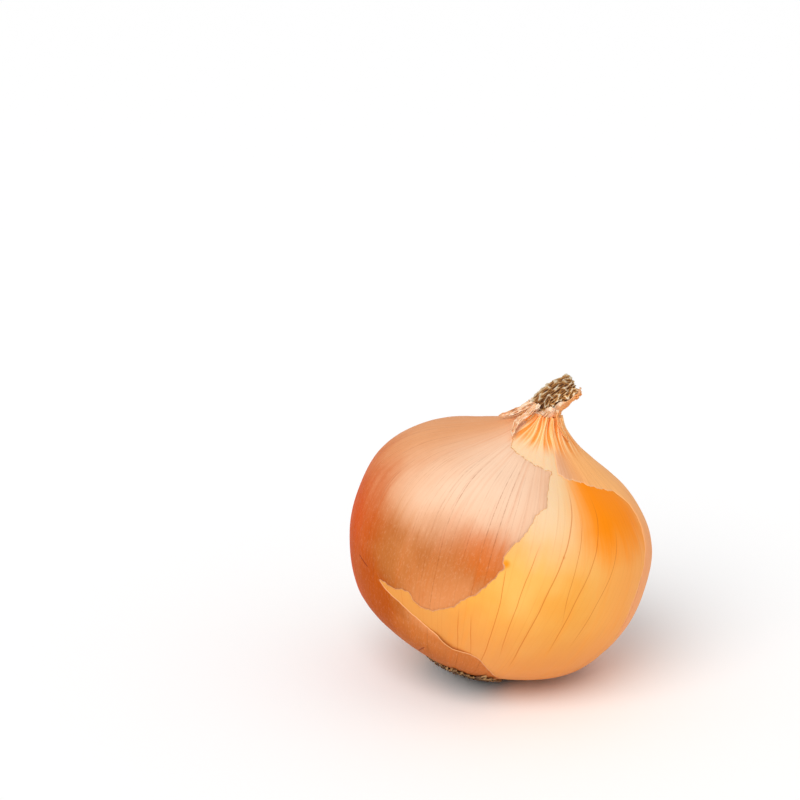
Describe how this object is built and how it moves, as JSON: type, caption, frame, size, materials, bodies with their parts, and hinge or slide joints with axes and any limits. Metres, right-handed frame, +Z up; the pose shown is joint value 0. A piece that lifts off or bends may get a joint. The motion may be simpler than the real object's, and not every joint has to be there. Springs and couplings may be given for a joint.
{
  "type": "onion",
  "caption": "Whole brown onion lying tipped on the side of its root end, with a torn papery skin, a pleated neck, a withered stub and cut dried roots.",
  "frame": {"origin": "middle of the onion's footprint, on the surface that it rests on", "axes": "+Z up from the surface; the neck leans over towards +X, and the torn opening in the outer skin faces -Y"},
  "size_m": [0.0848, 0.0854, 0.0851],
  "materials": {
    "gold_scale": "satin",
    "papery_skin": "satin",
    "withered_neck": "matte",
    "dry_shreds": "matte",
    "dried_roots": "matte"
  },
  "bodies": {
    "root": {"bulb": "gold_scale", "outer_skin": "papery_skin", "neck_stub": "withered_neck", "neck_shreds": "dry_shreds", "root_tuft": "dried_roots"}
  },
  "joints": []
}
